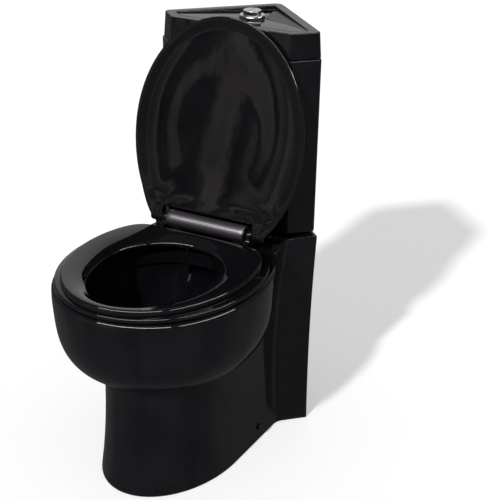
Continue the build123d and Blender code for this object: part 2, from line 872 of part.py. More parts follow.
with BuildPart() as canister:
    foot_level = Plane.XY.offset(seal_level + seal_thick)
    extrude(disc(foot_level, canister_foot, valve_place, bore=canister_bore), canister_foot_thick)
    extrude(
        disc(foot_level, canister_radius, valve_place, bore=canister_bore),
        canister_top - seal_level - seal_thick,
    )
    hook_y = lever_pivot_y - lever_finger - hook_gap
    with BuildSketch(Plane.XY.offset(canister_top)):
        with Locations((0, hook_y)):
            Rectangle(
                2 * stem_half, valve_y - canister_bore - 1 - hook_y, align=(Align.CENTER, Align.MIN)
            )
    extrude(amount=-stem_thick)
    with BuildSketch(Plane.XY.offset(canister_top - stem_thick)):
        with Locations((0, hook_y)):
            Rectangle(2 * stem_half, stem_thick, align=(Align.CENTER, Align.MAX))
    extrude(amount=lever_pivot_z + hook_rise + stem_thick - canister_top + stem_thick)
    with BuildSketch(Plane.XY.offset(lever_pivot_z + hook_rise)):
        with Locations((0, hook_y - stem_thick)):
            Rectangle(4 * stem_half, stem_thick + hook_reach, align=(Align.CENTER, Align.MIN))
    extrude(amount=stem_thick)
write(canister.part, "canister")

with BuildPart() as flush_seal:
    extrude(
        disc(Plane.XY.offset(seal_level + rest_gap), canister_foot, valve_place, bore=canister_radius),
        seal_thick - rest_gap,
    )
write(flush_seal.part, "flush_seal")

with BuildPart() as lift_lever:
    with BuildSketch(Plane.YZ):
        with Locations((lever_pivot_y - lever_finger, lever_pivot_z)):
            Rectangle(lever_finger + lever_paddle, lever_thick, align=(Align.MIN, Align.CENTER))
        with Locations((lever_pivot_y, lever_pivot_z)):
            Circle(lever_boss)
            Circle(pivot_radius + slip, mode=Mode.SUBTRACT)
    extrude(amount=lever_half, both=True)
write(lift_lever.part, "lift_lever")

with BuildPart() as lever_pin:
    extrude(
        disc(Plane.YZ, pivot_radius, (lever_pivot_y, lever_pivot_z)), lever_half + 0.5 + cage_wall, both=True
    )
write(lever_pin.part, "lever_pin")

# --- Buttons ---------------------------------------------------------------------------------
rod_places = {name: (x, rod_y) for name, x in rod_x.items()}
with BuildPart() as button_collar:
    extrude(
        disc(Plane.XY.offset(flange_seat), collar_flange, valve_place, bore=collar_bore), flange_thick
    )
    fillet(button_collar.edges().group_by(Axis.Z)[-1].sort_by(SortBy.LENGTH)[-1], flange_round)
    extrude(
        disc(Plane.XY.offset(flange_seat), collar_thread, valve_place, bore=collar_bore),
        collar_low - flange_seat,
    )
    extrude(disc(Plane.XY.offset(collar_low), collar_thread, valve_place), collar_floor)
    extrude(
        disc(Plane.XY.offset(collar_low), rod_radius + rod_play, *rod_places.values()),
        collar_floor,
        mode=Mode.SUBTRACT,
    )
write(button_collar.part, "button_collar")
lid_under = lid_bottom + lid_height - lid_thick - recess_rear_depth
write(washers([valve_place], lid_under, collar_nut, collar_thread + slip, nut_height), "collar_nut")

for name, keep, tip in (("full", Align.MIN, lever_top + rest_gap), ("half", Align.MAX, half_rod_end)):
    side = 1 if name == "full" else -1
    with BuildPart() as button:
        with BuildSketch(Plane.XY.offset(button_top)):
            with Locations(valve_place):
                Circle(button_radius)
            with Locations((button_split + side * split_gap / 2, valve_y)):
                half_plane = (4 * button_radius, 4 * button_radius)
                Rectangle(*half_plane, align=(keep, Align.CENTER), mode=Mode.INTERSECT)
        extrude(amount=-button_thick)
        fillet(button.faces().sort_by(Axis.Z)[-1].edges(), button_round)
    write(button.part, f"{name}_flush_button")

    with BuildPart() as rod:
        under = button_top - button_thick
        extrude(disc(Plane.XY.offset(under), rod_radius, rod_places[name]), rod_neck - under)
        extrude(disc(Plane.XY.offset(rod_neck), rod_tip, rod_places[name]), tip - rod_neck)
    write(rod.part, f"{name}_flush_rod")

    spring_low = collar_low + collar_floor + spring_wire + 0.1
    spring_high = button_top - button_thick - spring_wire - 0.1
    coil = Helix(
        (spring_high - spring_low) / spring_turns,
        spring_high - spring_low,
        spring_radius - spring_wire,
        center=(*rod_places[name], spring_low),
    )
    with BuildPart() as spring:
        with BuildSketch(Plane(origin=coil @ 0, z_dir=coil % 0)):
            Circle(spring_wire)
        sweep(path=coil, is_frenet=True)
    write(spring.part, f"{name}_flush_spring")

# --- Fill valve ------------------------------------------------------------------------------
fill_place = (fill_x, fill_y)
link_x = fill_x + fill_link
pivot_x = link_x - lever_arm
with BuildPart() as fill_valve_body:
    extrude(disc(Plane.XY.offset(tank_bottom - fill_tail), fill_thread, fill_place), fill_tail)
    chamfer(fill_valve_body.edges().group_by(Axis.Z)[0], 1.0)
    shank_low = tank_bottom - nut_height - joint_play
    shank_disc = disc(Plane.XY.offset(shank_low), fill_shank, fill_place)
    extrude(shank_disc, tank_inside + washer_thick - shank_low)
    extrude(disc(Plane.XY.offset(tank_inside + washer_thick), fill_flange, fill_place), flange_rise)
    extrude(
        disc(Plane.XY.offset(tank_inside + washer_thick), fill_riser, fill_place),
        fill_top - tank_inside - washer_thick,
    )
    extrude(disc(Plane.XY.offset(fill_top), fill_head, fill_place), -2 * fill_head)
    bore_disc = disc(Plane.XY.offset(tank_bottom - fill_tail), fill_bore, fill_place)
    extrude(bore_disc, fill_tail + fill_depth, mode=Mode.SUBTRACT)
    for side in side_to_side:
        with BuildSketch(Plane.XZ.offset(-fill_y - side * (float_lever_half + 0.5))):
            with Locations((pivot_x, fill_top)):
                Rectangle(8, fill_pivot_rise + 3.5, align=(Align.CENTER, Align.MIN))
            with Locations((pivot_x, fill_top + fill_pivot_rise)):
                Circle(fill_pin, mode=Mode.SUBTRACT)
        extrude(amount=-side * lever_cheek)
write(fill_valve_body.part, "fill_valve_body")
write(
    washers([fill_place], tank_inside + washer_thick, fill_flange - 0.5, fill_shank + 0.3, washer_thick),
    "fill_valve_washer",
)
write(washers([fill_place], tank_bottom, inlet_nut, fill_shank + slip, nut_height), "fill_valve_nut")

with BuildPart() as float_cup:
    extrude(
        disc(Plane.XY.offset(float_low), float_radius, fill_place, bore=float_radius - float_wall),
        float_height,
    )
    extrude(
        disc(Plane.XY.offset(float_low), fill_riser + 0.6 + float_wall, fill_place, bore=fill_riser + 0.6),
        float_height,
    )
    extrude(
        disc(Plane.XY.offset(float_low + float_height), float_radius, fill_place, bore=fill_riser + 0.6),
        -float_wall,
    )
    with BuildSketch(Plane.XY.offset(float_low + float_height)):
        with Locations((link_x + float_tab / 2, fill_y)):
            Rectangle(fill_link - float_radius + float_tab, float_tab, align=(Align.MAX, Align.CENTER))
    extrude(amount=-float_wall)
write(float_cup.part, "float_cup")

with BuildPart() as float_link:
    link_low = float_low + float_height
    link_high = fill_top + fill_pivot_rise + 6
    extrude(disc(Plane.XY.offset(link_low), link_radius, (link_x, fill_y)), link_high - link_low)
    extrude(disc(Plane.XY.offset(link_high), 2 * link_radius, (link_x, fill_y)), 2)
write(float_link.part, "float_link")

with BuildPart() as float_lever:
    with BuildSketch(Plane.XZ.offset(-fill_y)):
        with Locations((pivot_x - lever_tail, fill_top + fill_pivot_rise)):
            Rectangle(lever_tail + lever_arm + lever_tip, float_lever_thick, align=(Align.MIN, Align.CENTER))
        with Locations((pivot_x, fill_top + fill_pivot_rise)):
            Circle(float_lever_boss)
            Circle(fill_pin + slip, mode=Mode.SUBTRACT)
    extrude(amount=float_lever_half, both=True)
    with BuildSketch(Plane.XY.offset(fill_top)):
        with Locations((link_x, fill_y)):
            SlotOverall(6 * link_radius, 2 * link_radius + 1.2)
    extrude(amount=2 * fill_pivot_rise, mode=Mode.SUBTRACT)
write(float_lever.part, "float_lever")

with BuildPart() as float_lever_pin:
    extrude(
        disc(Plane.XZ.offset(-fill_y), fill_pin, (pivot_x, fill_top + fill_pivot_rise)),
        float_lever_half + 0.5 + lever_cheek,
        both=True,
    )
write(float_lever_pin.part, "float_lever_pin")

# --- Floor fixings ---------------------------------------------------------------------------


def side_half(level):
    """The half width of the foot's side at a level: a parabola through floor, waist and deck."""
    levels = (0.0, foot_waist, deck_top)
    halves = (side_half_floor, side_half_waist, side_half_deck)
    total = 0.0
    for own, half in zip(levels, halves):
        share = 1.0
        for other in levels:
            if other != own:
                share *= (level - other) / (own - other)
        total += half * share
    return total


bracket_top = fixing_z + bracket_rise
inner_side = side_half(bracket_top) - wall - bracket_play
outer_side = side_half(fixing_z - cap_radius) + rest_gap
with BuildPart() as floor_brackets:
    for side, against in ((-1, Align.MIN), (1, Align.MAX)):
        with BuildSketch(Plane.XY):
            with Locations((side * inner_side, fixing_y)):
                Rectangle(bracket_width, bracket_depth, align=(against, Align.CENTER))
            with Locations((side * (inner_side - bracket_width + bracket_hole), fixing_y)):
                Circle(fixing_hole, mode=Mode.SUBTRACT)
        extrude(amount=bracket_thick)
        with BuildSketch(Plane.XY):
            with Locations((side * inner_side, fixing_y)):
                Rectangle(bracket_block, bracket_depth, align=(against, Align.CENTER))
        extrude(amount=bracket_top)
    extrude(
        disc(Plane.YZ, screw_radius, (fixing_y, fixing_z)), side_half_floor, both=True, mode=Mode.SUBTRACT
    )
write(floor_brackets.part, "floor_brackets")

with BuildPart() as side_screws:
    for side in side_to_side:
        face = Plane.YZ.offset(side * outer_side)
        extrude(disc(face, screw_radius, (fixing_y, fixing_z)), -side * screw_length)
        extrude(disc(face, screw_head, (fixing_y, fixing_z)), side * screw_head_height)
write(side_screws.part, "side_screws")

with BuildPart() as screw_caps:
    for side in side_to_side:
        face = Plane.YZ.offset(side * outer_side)
        cap_wall = disc(face, cap_radius, (fixing_y, fixing_z), bore=screw_head + 0.2)
        extrude(cap_wall, side * (screw_head_height + 0.2))
        cap_top = face.offset(side * (screw_head_height + 0.2))
        extrude(disc(cap_top, cap_radius, (fixing_y, fixing_z)), side * cap_skin)
write(screw_caps.part, "screw_caps")
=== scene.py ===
import json
import math

import bmesh
import bpy
import numpy as np
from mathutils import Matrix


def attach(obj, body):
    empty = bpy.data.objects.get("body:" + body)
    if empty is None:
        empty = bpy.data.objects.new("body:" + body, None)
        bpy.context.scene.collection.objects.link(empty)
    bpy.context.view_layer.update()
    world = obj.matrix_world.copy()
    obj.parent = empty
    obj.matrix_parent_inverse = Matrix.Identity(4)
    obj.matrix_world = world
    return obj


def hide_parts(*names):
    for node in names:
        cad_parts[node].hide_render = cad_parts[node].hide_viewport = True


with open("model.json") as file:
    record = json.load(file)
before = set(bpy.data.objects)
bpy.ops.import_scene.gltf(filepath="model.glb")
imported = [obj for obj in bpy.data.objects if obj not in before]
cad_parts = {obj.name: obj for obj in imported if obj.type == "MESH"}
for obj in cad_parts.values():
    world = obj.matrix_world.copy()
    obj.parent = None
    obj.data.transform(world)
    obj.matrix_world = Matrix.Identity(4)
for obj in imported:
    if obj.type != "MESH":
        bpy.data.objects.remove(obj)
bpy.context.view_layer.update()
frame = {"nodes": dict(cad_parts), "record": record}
nodes = frame["nodes"]
print("frame loaded", len(nodes), "nodes")


# Millimetres over a thousand.
def metres(values):
    return np.asarray(values, dtype=float) / 1000.0


# An object of some data, linked into the scene at the origin.
def addObject(name, data):
    thing = bpy.data.objects.new(name, data)
    bpy.context.scene.collection.objects.link(thing)
    return thing


# Points in millimetres and the four-sided faces between them become one smooth closed surface. Each cap is a
# rim of point numbers that one face fills.
def surfaceObject(name, points, faces, caps=()):
    mesh = bpy.data.meshes.new(name)
    mesh.from_pydata(metres(points).reshape(-1, 3).tolist(), [], faces.reshape(-1, 4).tolist())
    work = bmesh.new()
    work.from_mesh(mesh)
    work.verts.ensure_lookup_table()
    for cap in caps:
        rim = [work.verts[i] for i in cap]
        if max((v.co - rim[0].co).length for v in rim) > 1e-6:
            work.faces.new(rim)
    bmesh.ops.remove_doubles(work, verts=work.verts[:], dist=1e-7)
    bmesh.ops.recalc_face_normals(work, faces=work.faces[:])
    work.to_mesh(mesh)
    work.free()
    mesh.shade_smooth()
    return addObject(name, mesh)


# A grid of points becomes a tube: rows run along it, columns go round it, and its two ends are filled.
def tubeObject(name, points):
    index = np.arange(points.shape[0] * points.shape[1]).reshape(points.shape[:2])
    onward = np.roll(index, -1, axis=1)
    faces = np.stack([index[:-1], onward[:-1], onward[1:], index[1:]], axis=-1)
    return surfaceObject(name, points, faces, caps=(index[0][::-1], index[-1]))


# A closed section carried round a loop: every column joins the next, and the last row joins the first.
def loopObject(name, points, angle=40.0):
    index = np.arange(points.shape[0] * points.shape[1]).reshape(points.shape[:2])
    onward = np.roll(index, -1, axis=1)
    faces = np.stack([index, onward, np.roll(onward, -1, axis=0), np.roll(index, -1, axis=0)], axis=-1)
    thing = surfaceObject(name, points, faces)
    thing.data.set_sharp_from_angle(angle=math.radians(angle))
    return thing


# A CAD node's own surface with its loose triangles joined, shaded smooth, and its edges sharper than an angle
# eased by a bevel. Edges inside a plain box stay sharp, so a small hole in a curved face stays clean.
def easedCopy(nodeName, edge, angle=28.0, plain=()):
    source = nodes[nodeName]
    mesh = source.data.copy()
    work = bmesh.new()
    work.from_mesh(mesh)
    bmesh.ops.remove_doubles(work, verts=work.verts[:], dist=1e-6)
    flat = math.radians(0.05)  # only triangles of one flat face are joined
    bmesh.ops.dissolve_limit(work, angle_limit=flat, verts=work.verts[:], edges=work.edges[:])
    weight = work.edges.layers.float.new("bevel_weight_edge")
    for bend in work.edges:
        middle = (bend.verts[0].co + bend.verts[1].co) / 2 * 1000.0
        place = np.array([abs(middle.x), middle.y, middle.z])
        inside = any(np.abs(place - spot[:3]).max() < spot[3] for spot in plain)
        if bend.is_manifold and not inside and bend.calc_face_angle() > math.radians(angle):
            bend[weight] = 1.0
    work.to_mesh(mesh)
    work.free()
    mesh.shade_smooth()
    mesh.set_sharp_from_angle(angle=math.radians(angle))
    thing = addObject(nodeName + "Eased", mesh)
    thing.matrix_world = source.matrix_world.copy()
    bevel = thing.modifiers.new("easedEdges", "BEVEL")
    bevel.width = edge / 1000.0
    bevel.segments = 3
    bevel.limit_method = "WEIGHT"
    bevel.use_clamp_overlap = False
    bevel.harden_normals = True
    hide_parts(nodeName)
    return thing


# An sRGB hex colour as linear red, green, blue and a full alpha.
def linearColour(hexText):
    parts = [int(hexText[i : i + 2], 16) / 255.0 for i in (1, 3, 5)]
    return [p / 12.92 if p <= 0.04045 else ((p + 0.055) / 1.055) ** 2.4 for p in parts] + [1.0]


# Adds a node with its settings, the values of its sockets, and the links that run into it.
def addNode(tree, kind, links=(), sockets=(), **settings):
    node = tree.nodes.new(kind)
    for key, value in settings.items():
        setattr(node, key, value)
    for socket, value in sockets:
        node.inputs[socket].default_value = value
    for source, socket in links:
        tree.links.new(source, node.inputs[socket])
    return node


# A finish: one noise mixes two close tones, one moves the roughness, and one lifts the surface a little.
# A grain of so many millimetres needs a noise scale of 1000 over it, since coordinates are in metres.
def finishOf(look):
    material = bpy.data.materials.new(look["name"])
    material.use_nodes = True
    tree = material.node_tree
    shader = tree.nodes["Principled BSDF"]
    coords = addNode(tree, "ShaderNodeTexCoord").outputs["Object"]
    pull = look.get("pull", (1.0, 1.0, 1.0))  # stretches the grain along X, Y or Z
    coords = addNode(tree, "ShaderNodeMapping", [(coords, "Vector")], [("Scale", pull)]).outputs["Vector"]
    grains = []
    for key, low, high in (("toneGrain", 0.0, 1.0), ("roughGrain", *look["rough"]), ("bumpGrain", 0.0, 1.0)):
        sockets = [("Scale", 1000.0 / look[key]), ("Detail", 3.0)]
        noise = addNode(tree, "ShaderNodeTexNoise", [(coords, "Vector")], sockets)
        span = [("From Min", 0.3), ("From Max", 0.7), ("To Min", low), ("To Max", high)]
        grain = addNode(tree, "ShaderNodeMapRange", [(noise.outputs["Fac"], "Value")], span)
        grains.append(grain.outputs["Result"])
    tones = [(6, linearColour(look["dark"])), (7, linearColour(look["light"]))]
    mixed = addNode(tree, "ShaderNodeMix", [(grains[0], 0)], tones, data_type="RGBA")
    height = [("Strength", 1.0), ("Distance", look["bump"] / 1000.0)]
    relief = addNode(tree, "ShaderNodeBump", [(grains[2], "Height")], height)
    tree.links.new(mixed.outputs[2], shader.inputs["Base Color"])
    tree.links.new(grains[1], shader.inputs["Roughness"])
    tree.links.new(relief.outputs["Normal"], shader.inputs["Normal"])
    for socket, value in look.get("shader", {}).items():
        shader.inputs[socket].default_value = value
    return material


# Vitreous china under a fired black glaze: deep and glassy, with faint slow waves and a neutral cast.
glazeLook = {
    "name": "blackGlazedVitreousChina", "dark": "#0a0a0d", "light": "#111115", "toneGrain": 60.0,
    "rough": (0.025, 0.055), "roughGrain": 40.0, "bump": 0.05, "bumpGrain": 30.0, "shader": {"IOR": 1.55},
}
# Compression-moulded urea plastic, polished: nearly as glossy as the glaze, with very long soft waves.
seatLook = {
    "name": "polishedBlackThermosetPlastic", "dark": "#09090c", "light": "#0f0f13", "toneGrain": 80.0,
    "rough": (0.02, 0.045), "roughGrain": 45.0, "bump": 0.03, "bumpGrain": 40.0, "shader": {"IOR": 1.56},
}
# Injection-moulded black nylon: satin, with the fine spark-eroded grain of its mould.
mouldedLook = {
    "name": "satinBlackMouldedNylon", "dark": "#0e0e10", "light": "#151517", "toneGrain": 20.0,
    "rough": (0.3, 0.42), "roughGrain": 6.0, "bump": 0.02, "bumpGrain": 0.8, "shader": {"IOR": 1.52},
}
# Stainless tube brushed along its length: fine lines spread each highlight across them.
steelLook = {
    "name": "brushedStainlessSteel", "dark": "#77727a", "light": "#a29da3", "toneGrain": 1.6,
    "rough": (0.38, 0.5), "roughGrain": 1.4, "bump": 0.001, "bumpGrain": 1.2, "pull": (0.02, 1.0, 1.0),
    "shader": {"Metallic": 1.0},
}
# Chrome plate on moulded ABS: mirror-bright, a little softened by fingermarks.
chromeLook = {
    "name": "chromePlatedAbs", "dark": "#d0d2d6", "light": "#e2e4e6", "toneGrain": 12.0,
    "rough": (0.1, 0.18), "roughGrain": 9.0, "bump": 0.006, "bumpGrain": 8.0, "shader": {"Metallic": 1.0},
}
# Moulded EPDM rubber: matt, dusty black with a slight bloom.
rubberLook = {
    "name": "mattEpdmRubber", "dark": "#161616", "light": "#262524", "toneGrain": 8.0,
    "rough": (0.7, 0.88), "roughGrain": 4.0, "bump": 0.05, "bumpGrain": 1.2, "shader": {"IOR": 1.5},
}
# Red silicone of the flush seal: a little translucent, soft sheen.
siliconeLook = {
    "name": "redSilicone", "dark": "#8e2c25", "light": "#a83a30", "toneGrain": 10.0,
    "rough": (0.42, 0.58), "roughGrain": 5.0, "bump": 0.03, "bumpGrain": 1.5, "shader": {"IOR": 1.42},
}
# Natural white acetal and ABS of the cistern fittings: low sheen with a moulded grain.
whiteLook = {
    "name": "whiteMouldedAcetal", "dark": "#d6d5cf", "light": "#e6e5e0", "toneGrain": 15.0,
    "rough": (0.35, 0.48), "roughGrain": 5.0, "bump": 0.02, "bumpGrain": 0.9, "shader": {"IOR": 1.48},
}
# Blue dyed polypropylene of the canister and the float: waxy, even colour.
blueLook = {
    "name": "blueMouldedPolypropylene", "dark": "#2f5c86", "light": "#3b6c98", "toneGrain": 15.0,
    "rough": (0.36, 0.5), "roughGrain": 5.0, "bump": 0.02, "bumpGrain": 0.9, "shader": {"IOR": 1.49},
}
looks = {
    "black_glaze": finishOf(glazeLook),
    "black_duroplast": finishOf(seatLook),
    "black_moulding": finishOf(mouldedLook),
    "brushed_steel": finishOf(steelLook),
    "chrome": finishOf(chromeLook),
    "dark_rubber": finishOf(rubberLook),
    "red_rubber": finishOf(siliconeLook),
    "white_moulding": finishOf(whiteLook),
    "blue_moulding": finishOf(blueLook),
}


# Gives a piece its finish, its material slot and the body it moves with.
def wear(thing, slotName, body):
    thing.data.materials.clear()
    thing.data.materials.append(looks[slotName])
    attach(thing, body)
    return thing


slotOf = {part["node"]: part["material_slot"] for part in frame["record"]["subparts"]}
for nodeName, node in nodes.items():
    for place in node.material_slots:
        place.material = looks[slotOf[nodeName]]
    if not node.material_slots:
        node.data.materials.append(looks[slotOf[nodeName]])
print("materials made", len(looks))

ceramic = {
    "edges": {"pan": 1.6, "cistern": 2.2, "cistern_lid": 1.6},
    # Left unbevelled: the fixing hole, the duct's mouth and the button's hole, each with its X, Y, Z and reach.
    "plain": ((124.0, 44.5, 25.0, 12.0), (0.0, 30.0, 332.0, 34.0), (0.0, 208.5, 765.0, 32.0)),
}
for nodeName, edge in ceramic["edges"].items():
    wear(easedCopy(nodeName, edge, plain=ceramic["plain"]), "black_glaze", "base")
print("ceramic eased")

# The ring in millimetres. A step is how far it stands in from its outline, and how high over the part below.
ring = {
    "centre": -106.5, "half": 181.0, "front": 217.0, "rear": 215.0, "tail": 28.0,
    "slabHalf": 166.0, "slabFront": 212.5, "slabRear": 206.0,
    "holeCentre": -117.5, "holeHalf": 110.0, "holeFront": 166.0, "holeRear": 115.0,
    "low": 390.0, "flange": 397.5, "top": 410.0, "dip": 9.5, "dipPower": 1.9, "round": 5.0,
    "flangeSteps": ((2.0, 0.0), (0.6, 0.5), (0.0, 1.6), (0.0, 4.2), (0.35, 5.8), (1.1, 6.9), (2.4, 7.5)),
    "grooveSteps": ((1.9, 0.0), (2.4, 0.4), (2.4, 1.2), (1.4, 1.5), (0.3, 2.2), (0.0, 3.3)),
    "lipWide": 6.0, "lipDrop": (3.0, 2.2), "footStep": 1.5, "around": 360,
}


# An egg of two half ellipses about a centre, by angle. A soft minimum with the tail line, the p-norm of the two
# reaches, cuts it off behind and rounds the corners; a larger sharp is a tighter corner.
def eggOutline(turn, half, front, rear, centre, tail=None, sharp=11.0):
    along = np.where(np.sin(turn) > 0, rear, front)
    reach = 1.0 / np.sqrt((np.cos(turn) / half) ** 2 + (np.sin(turn) / along) ** 2)
    if tail is not None:
        rise = np.maximum(np.sin(turn), 1e-4)
        line = (tail - centre) / rise
        reach = (reach**-sharp + line**-sharp) ** (-1.0 / sharp)
    return np.stack([reach * np.cos(turn), centre + reach * np.sin(turn)], axis=-1)


# Draws an outline in towards a point by a distance in millimetres.
def drawnIn(outline, centre, inset):
    out = outline - np.array([0.0, centre])
    length = np.linalg.norm(out, axis=-1, keepdims=True)
    return np.array([0.0, centre]) + out * (1.0 - inset / length)


# The ring's surface: round the egg by angle, and across it by a section that climbs the flange and the groove,
# rounds the slab's edge by a quarter circle, dips as share^dipPower towards the hole, and drops through it.
def makeSeatRing(ring):
    turn = np.linspace(0, 2 * math.pi, ring["around"], endpoint=False)
    centre, tail = ring["centre"], ring["tail"]
    flange = eggOutline(turn, ring["half"], ring["front"], ring["rear"], centre, tail)
    slab = eggOutline(turn, ring["slabHalf"], ring["slabFront"], ring["slabRear"], centre, tail - 0.5)
    hole = eggOutline(turn, ring["holeHalf"], ring["holeFront"], ring["holeRear"], ring["holeCentre"])
    lip, edgeRound, lipTop = ring["lipWide"], ring["round"], ring["top"] - ring["dip"]
    section = [(drawnIn(flange, centre, inset), ring["low"] + rise) for inset, rise in ring["flangeSteps"]]
    section += [(drawnIn(slab, centre, inset), ring["flange"] + rise) for inset, rise in ring["grooveSteps"]]
    for step in np.linspace(0.0, 0.5 * math.pi, 9):
        inset, drop = edgeRound * (1 - math.cos(step)), edgeRound * (1 - math.sin(step))
        section.append((drawnIn(slab, centre, inset), ring["top"] - drop))
    outer, inner = drawnIn(slab, centre, edgeRound), drawnIn(hole, ring["holeCentre"], -lip)
    for share in np.linspace(0.0, 1.0, 22)[1:]:
        plan = outer * (1 - share) + inner * share
        section.append((plan, ring["top"] - ring["dip"] * share ** ring["dipPower"]))
    for step in np.linspace(0.0, 0.5 * math.pi, 8)[1:]:
        drop = ring["lipDrop"][0] * (1 - math.cos(step)) + ring["lipDrop"][1] * math.sin(step)
        section.append((drawnIn(hole, ring["holeCentre"], -lip * (1 - math.sin(step))), lipTop - drop))
    section.append((hole, ring["low"] + ring["footStep"]))
    section.append((drawnIn(hole, ring["holeCentre"], -ring["footStep"]), ring["low"]))
    rows = [np.concatenate([plan, np.full((len(turn), 1), height)], axis=1) for plan, height in section]
    return loopObject("seatRingShell", np.stack(rows))


ringShell = wear(makeSeatRing(ring), "black_duroplast", "seat_ring")
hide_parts("seat_ring")

# The hinge line and what turns on it: the tube's size, and the lugs that carry the ring.
hinge = {
    "y": 48.5, "z": 419.0, "tubeRadius": 16.0, "tubeBore": 13.0, "tubeHalf": 80.0,
    "lugFrom": 84.0, "lugTo": 94.0, "lugRadius": 10.0, "lugLow": 391.0, "lugHigh": 408.0, "lugReach": 22.0,
    "lugEdge": 1.5, "lugSharp": 50.0,
}


# A closed outline carried straight across, its two rims drawn in by a quarter round.
def acrossObject(name, outline, start, end, edge):
    middle = outline.mean(axis=0)
    size = np.linalg.norm(outline - middle, axis=1, keepdims=True)
    turn = np.linspace(0, math.pi / 2, 6)
    along, inset = edge * (1 - np.cos(turn)), edge * (1 - np.sin(turn))
    across = np.concatenate([start + along, end - along[::-1]])
    inset = np.concatenate([inset, inset[::-1]])
    plan = middle + (outline - middle) * (1 - inset[:, None, None] / size)
    side = np.broadcast_to(across[:, None, None], plan.shape[:2] + (1,))
    return tubeObject(name, np.concatenate([side, plan], axis=-1))


# The lug's side view, as Y and Z: round over the axis, straight down behind, and out to the ring in front.
def lugOutline(hinge):
    radius, low, high, reach = hinge["lugRadius"], hinge["lugLow"], hinge["lugHigh"], hinge["lugReach"]
    turn = np.linspace(-0.1, math.pi + 0.3, 26)
    head = np.stack([hinge["y"] + radius * np.cos(turn), hinge["z"] + radius * np.sin(turn)], axis=-1)
    ahead, behind = hinge["y"] - radius, hinge["y"] + radius
    shoulder = [(ahead - 0.5, high + 4.0), (ahead - 4.0, high + 1.0), (ahead - 9.0, high - 0.5)]
    nose = [(reach, high - 1.5), (reach, low + 2.0), (reach + 2.0, low)]
    heel = [(behind - 4.0, low), (behind - 1.0, low + 1.5), (behind, low + 5.0)]
    return np.concatenate([head, np.array(shoulder + nose + heel)])


for name, side in (("ringLugLeft", -1), ("ringLugRight", 1)):
    start, end = sorted((side * hinge["lugFrom"], side * hinge["lugTo"]))
    lug = acrossObject(name, lugOutline(hinge), start, end, hinge["lugEdge"])
    lug.data.set_sharp_from_angle(angle=math.radians(hinge["lugSharp"]))
    wear(lug, "black_duroplast", "seat_ring")
print("seat ring made")

# The cover in its own plane, in millimetres, with the lean in degrees: its outline's height runs up from the
# hinge line, and its faces stand in front of and behind that plane.
cover = {
    "lean": 10.5, "half": 174.0, "tip": 215.0, "heel": 230.0, "centre": 169.0, "middle": 185.0, "corner": 5.0,
    "notchHalf": 95.5, "notchTop": 21.0, "band": 21.0, "innerCut": 44.0, "innerSoft": 6.0,
    "lip": 3.5, "dip": 6.6, "dish": 2.4, "thick": 8.0, "crown": 6.0, "least": 1.9,
    "frontRound": 1.6, "backRound": 4.5, "heelFrom": 16.0, "heelTo": 110.0,
    "ear": 10.0, "earRise": 8.0, "earTop": 58.0, "earBackTop": 26.0, "around": 720,
}


# The cover's outline in its own plane: an egg cut off at the hinge, with a notch that clears the tube, walked
# round in equal steps of length.
def coverOutline(cover):
    turn = np.linspace(-0.5 * math.pi, 1.5 * math.pi, 4000, endpoint=False)
    reach = np.where(np.sin(turn) > 0, cover["tip"], cover["heel"])
    egg = np.stack([cover["half"] * np.cos(turn), cover["centre"] + reach * np.sin(turn)], axis=-1)
    egg = egg[egg[:, 1] > 1.0]  # what stands above the hinge line
    egg = egg[np.argsort(np.arctan2(egg[:, 0], egg[:, 1] - cover["middle"]))]
    notch, top, corner, foot = cover["notchHalf"], cover["notchTop"], cover["corner"], -cover["ear"]
    quarter = np.linspace(0, 0.5 * math.pi, 8)
    sine, cosine = np.sin(quarter), np.cos(quarter)
    parts = [egg]
    for side, last in ((1, egg[-1]), (-1, egg[0])):
        corners = [  # the ear's outer corner, its corner by the tube, and the notch's upper corner
            (abs(last[0]) - corner * (1 - cosine), foot + corner * (1 - sine)),
            (notch + 2.0 * (1 - sine), foot + 2.0 * (1 - cosine)),
            (notch - 3.0 * (1 - cosine), top - 3.0 * (1 - sine)),
        ]
        edge = np.concatenate([np.stack([side * along, height], axis=-1) for along, height in corners])
        parts.append(edge[::side])
    loop = np.concatenate(parts)
    step = np.linalg.norm(np.diff(np.vstack([loop, loop[:1]]), axis=0), axis=1)
    loop, step = loop[step > 1e-6], step[step > 1e-6]
    length = np.concatenate([[0], np.cumsum(step)])
    at = np.linspace(0, length[-1], cover["around"], endpoint=False)
    closed = np.vstack([loop, loop[:1]])
    return np.stack([np.interp(at, length, closed[:, k]) for k in (0, 1)], axis=-1)


# Rises from 0 to 1 between two values as 3t^2 - 2t^3.
def smooth(value, low, high):
    share = np.clip((value - low) / (high - low), 0, 1)
    return share * share * (3 - 2 * share)


# A quarter circle's height, from 0 at the start to 1 a radius further on.
def rounded(away, radius):
    return np.sqrt(np.clip(1 - (1 - np.clip(away / radius, 0, 1)) ** 2, 0, 1))


# The distance from each point to the nearest point of an outline, some thousands of points at a time.
def edgeDistance(points, outline, block=4000):
    flat = points.reshape(-1, 2)
    nearest = np.empty(len(flat))
    for first in range(0, len(flat), block):
        gap = flat[first : first + block, None, :] - outline[None]
        nearest[first : first + block] = np.sqrt((gap**2).sum(-1)).min(1)
    return nearest.reshape(points.shape[:-1])


